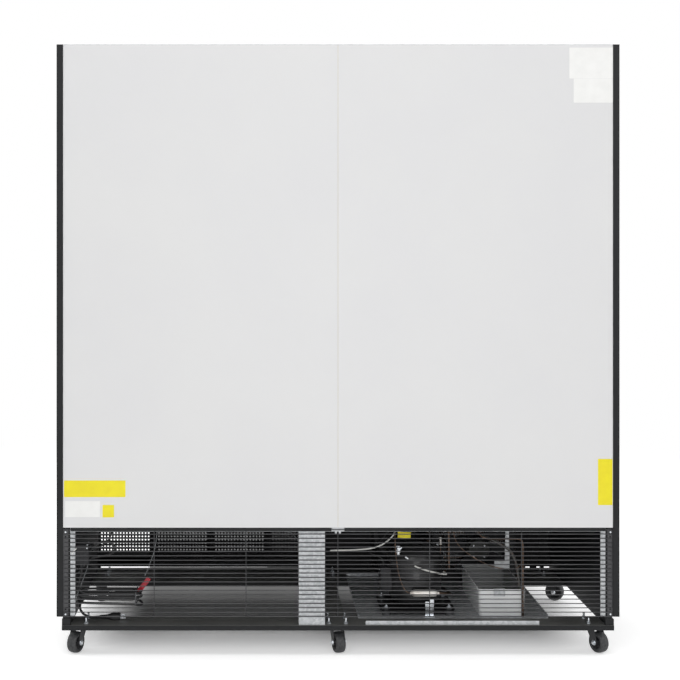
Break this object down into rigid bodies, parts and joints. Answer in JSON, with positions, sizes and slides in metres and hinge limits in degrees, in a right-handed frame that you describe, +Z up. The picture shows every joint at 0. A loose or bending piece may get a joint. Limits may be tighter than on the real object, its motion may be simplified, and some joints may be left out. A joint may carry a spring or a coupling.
{
  "type": "glass door refrigerator",
  "caption": "Upright display refrigerator with hinged glass doors, a rear machine bay behind a wire guard, a header light box and swivel casters.",
  "frame": {"origin": "on the floor, under the centre of the cabinet", "axes": "+Z up, -Y the way the glass doors face, +Y the grey rear panels, +X to the right for someone who faces the doors"},
  "size_m": [1.829, 0.813, 1.987],
  "materials": {
    "black_paint": "satin black powder coat",
    "grey_paint": "light grey paint",
    "galvanised": "galvanised",
    "foam": "rigid foam, never seen",
    "white_metal": "white coated sheet",
    "fins": "bare fins",
    "copper": "copper tube",
    "black_plastic": "matt black",
    "motor_black": "black cast housing",
    "compressor_black": "gloss black",
    "pan_white": "milky white",
    "clear_glass": "clear",
    "lamp_white": "opal",
    "shelf_white": "white coated wire",
    "seal_grey": "soft, dull",
    "cord_black": "dull black",
    "wheel_black": "dull black"
  },
  "bodies": {
    "cabinet": {"base_frame": "black_paint", "side_panel_left": "black_paint", "side_panel_right": "black_paint", "rear_panel_left": "grey_paint", "rear_panel_right": "grey_paint", "top_panel": "galvanised", "bay_ceiling": "galvanised", "insulation": "foam", "inner_liner": "white_metal", "rear_posts": "galvanised", "wire_guard": "black_paint", "kick_panel": "black_paint", "header_box": "black_paint", "lamp_covers": "lamp_white", "mullions": "black_plastic", "hinge_brackets": "galvanised", "evaporator_coil": "fins", "evaporator_cover": "white_metal", "fan_motors": "motor_black", "shelf_standards": "white_metal", "wire_shelves": "shelf_white", "unit_tray": "galvanised", "compressor": "compressor_black", "condenser": "fins", "pipework": "copper", "evaporation_pan": "pan_white", "junction_box": "black_plastic", "wiring": "cord_black", "power_cord": "cord_black", "cord_hank": "cord_black", "cord_tail": "cord_black", "cord_plug": "black_plastic", "caster_plates": "galvanised"},
    "door_left": {"door_frame_left": "black_plastic", "door_glass_left": "clear_glass", "door_gasket_left": "seal_grey", "door_handle_left": "black_plastic"},
    "door_center": {"door_frame_center": "black_plastic", "door_glass_center": "clear_glass", "door_gasket_center": "seal_grey", "door_handle_center": "black_plastic"},
    "door_right": {"door_frame_right": "black_plastic", "door_glass_right": "clear_glass", "door_gasket_right": "seal_grey", "door_handle_right": "black_plastic"},
    "caster_rear_left": {"caster_fork_rear_left": "black_paint"},
    "wheel_rear_left": {"caster_wheel_rear_left": "wheel_black"},
    "caster_rear_center": {"caster_fork_rear_center": "black_paint"},
    "wheel_rear_center": {"caster_wheel_rear_center": "wheel_black"},
    "caster_rear_right": {"caster_fork_rear_right": "black_paint"},
    "wheel_rear_right": {"caster_wheel_rear_right": "wheel_black"},
    "caster_front_left": {"caster_fork_front_left": "black_paint"},
    "wheel_front_left": {"caster_wheel_front_left": "wheel_black"},
    "caster_front_center": {"caster_fork_front_center": "black_paint"},
    "wheel_front_center": {"caster_wheel_front_center": "wheel_black"},
    "caster_front_right": {"caster_fork_front_right": "black_paint"},
    "wheel_front_right": {"caster_wheel_front_right": "wheel_black"},
    "evaporator_fan_left": {"evaporator_fan_left": "black_plastic"},
    "evaporator_fan_right": {"evaporator_fan_right": "black_plastic"},
    "condenser_fan": {"condenser_fan": "black_plastic"}
  },
  "joints": [
    {"name": "door_left_hinge", "type": "hinge", "parent": "cabinet", "child": "door_left", "pos_m": [-0.8945, -0.365, 0.424], "axis": [0, 0, -1], "range_deg": [0, 110], "stiffness_Nm_per_rad": 3, "springref_deg": -11.46},
    {"name": "door_center_hinge", "type": "hinge", "parent": "cabinet", "child": "door_center", "pos_m": [-0.2875, -0.365, 0.424], "axis": [0, 0, -1], "range_deg": [0, 110], "stiffness_Nm_per_rad": 3, "springref_deg": -11.46},
    {"name": "door_right_hinge", "type": "hinge", "parent": "cabinet", "child": "door_right", "pos_m": [0.8945, -0.365, 0.424], "axis": [0, 0, 1], "range_deg": [0, 110], "stiffness_Nm_per_rad": 3, "springref_deg": -11.46},
    {"name": "caster_rear_left_swivel", "type": "hinge", "parent": "cabinet", "child": "caster_rear_left", "pos_m": [-0.85, 0.35, 0.077], "axis": [0, 0, 1], "continuous": true},
    {"name": "wheel_rear_left_spin", "type": "hinge", "parent": "caster_rear_left", "child": "wheel_rear_left", "pos_m": [-0.85813, 0.36827, 0.034], "axis": [0.9135, 0.4067, 0], "continuous": true},
    {"name": "caster_rear_center_swivel", "type": "hinge", "parent": "cabinet", "child": "caster_rear_center", "pos_m": [0, 0.35, 0.077], "axis": [0, 0, 1], "continuous": true},
    {"name": "wheel_rear_center_spin", "type": "hinge", "parent": "caster_rear_center", "child": "wheel_rear_center", "pos_m": [-0.0045, 0.36949, 0.034], "axis": [0.9744, 0.225, 0], "continuous": true},
    {"name": "caster_rear_right_swivel", "type": "hinge", "parent": "cabinet", "child": "caster_rear_right", "pos_m": [0.85, 0.35, 0.077], "axis": [0, 0, 1], "continuous": true},
    {"name": "wheel_rear_right_spin", "type": "hinge", "parent": "caster_rear_right", "child": "wheel_rear_right", "pos_m": [0.85749, 0.36854, 0.034], "axis": [0.9272, -0.3746, 0], "continuous": true},
    {"name": "caster_front_left_swivel", "type": "hinge", "parent": "cabinet", "child": "caster_front_left", "pos_m": [-0.85, -0.24, 0.077], "axis": [0, 0, 1], "continuous": true},
    {"name": "wheel_front_left_spin", "type": "hinge", "parent": "caster_front_left", "child": "wheel_front_left", "pos_m": [-0.86732, -0.23, 0.034], "axis": [0.5, 0.866, 0], "continuous": true},
    {"name": "caster_front_center_swivel", "type": "hinge", "parent": "cabinet", "child": "caster_front_center", "pos_m": [0, -0.24, 0.077], "axis": [0, 0, 1], "continuous": true},
    {"name": "wheel_front_center_spin", "type": "hinge", "parent": "caster_front_center", "child": "wheel_front_center", "pos_m": [0.01147, -0.22362, 0.034], "axis": [0.8192, -0.5736, 0], "continuous": true},
    {"name": "caster_front_right_swivel", "type": "hinge", "parent": "cabinet", "child": "caster_front_right", "pos_m": [0.85, -0.24, 0.077], "axis": [0, 0, 1], "continuous": true},
    {"name": "wheel_front_right_spin", "type": "hinge", "parent": "caster_front_right", "child": "wheel_front_right", "pos_m": [0.84584, -0.22044, 0.034], "axis": [0.9781, 0.2079, 0], "continuous": true},
    {"name": "evaporator_fan_left_spin", "type": "hinge", "parent": "cabinet", "child": "evaporator_fan_left", "pos_m": [-0.3, 0.0865, 1.829], "axis": [0, 1, 0], "continuous": true},
    {"name": "evaporator_fan_right_spin", "type": "hinge", "parent": "cabinet", "child": "evaporator_fan_right", "pos_m": [0.3, 0.0865, 1.829], "axis": [0, 1, 0], "continuous": true},
    {"name": "condenser_fan_spin", "type": "hinge", "parent": "cabinet", "child": "condenser_fan", "pos_m": [-0.538, -0.087, 0.24], "axis": [0, 1, 0], "continuous": true}
  ]
}
